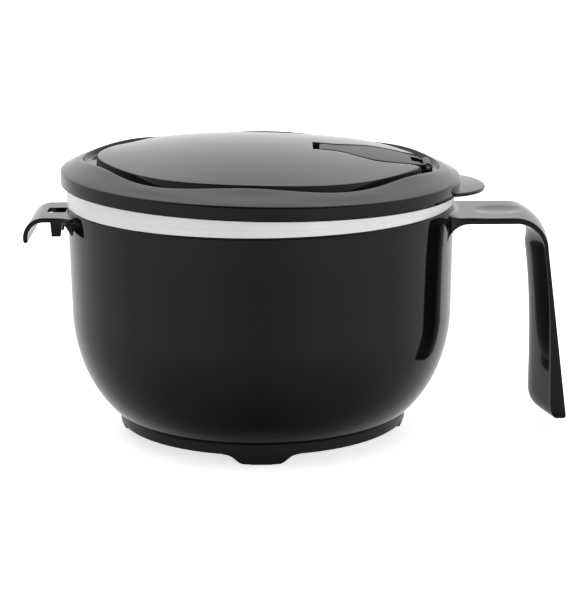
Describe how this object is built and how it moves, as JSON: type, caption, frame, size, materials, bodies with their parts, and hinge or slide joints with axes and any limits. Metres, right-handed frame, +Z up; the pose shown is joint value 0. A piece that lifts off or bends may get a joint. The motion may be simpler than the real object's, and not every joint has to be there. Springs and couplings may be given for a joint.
{
  "type": "lidded soup bowl",
  "caption": "Two-wall soup bowl with a steel liner in a black shell, a side handle, a hanging ear, small feet, and a domed snap lid with a flip-up vent flap.",
  "frame": {"origin": "on the table plane under the foot pads, at the middle of the whole object's length and width", "axes": "+Z up along the bowl's axis, +X towards the handle, -X towards the hanging ear; the bowl's axis stands at x = -0.01475"},
  "size_m": [0.225, 0.166, 0.122],
  "materials": {
    "gloss_black": "polished injection-moulded polypropylene",
    "satin_black": "fine satin moulding",
    "brushed_steel": "satin stainless sheet",
    "silicone": "translucent white food-grade silicone",
    "zinc_steel": "plated steel fasteners",
    "pad_rubber": "dull black rubber"
  },
  "bodies": {
    "bowl": {"outer_shell": "gloss_black", "steel_liner": "brushed_steel", "rim_gasket": "silicone", "liner_stud": "zinc_steel", "stud_washer": "zinc_steel", "stud_nut": "zinc_steel", "base_cap": "satin_black", "base_screw_1": "zinc_steel", "base_screw_2": "zinc_steel", "base_screw_3": "zinc_steel", "base_screw_4": "zinc_steel", "foot_pad_1": "pad_rubber", "foot_pad_2": "pad_rubber", "foot_pad_3": "pad_rubber", "foot_pad_4": "pad_rubber", "handle": "gloss_black", "ear_hook": "gloss_black"},
    "lid": {"lid_body": "gloss_black", "lid_cover": "gloss_black", "seal_ring": "silicone", "hinge_pin": "zinc_steel"},
    "flap": {"vent_flap": "satin_black", "vent_stopper": "silicone"}
  },
  "joints": [
    {"name": "lid_lift", "type": "slide", "parent": "bowl", "child": "lid", "axis": [0, 0, 1], "range_m": [0, 0.08]},
    {"name": "flap_hinge", "type": "hinge", "parent": "lid", "child": "flap", "pos_m": [0.05446, 0, 0.11213], "axis": [0, 1, 0], "range_deg": [0, 95]}
  ]
}
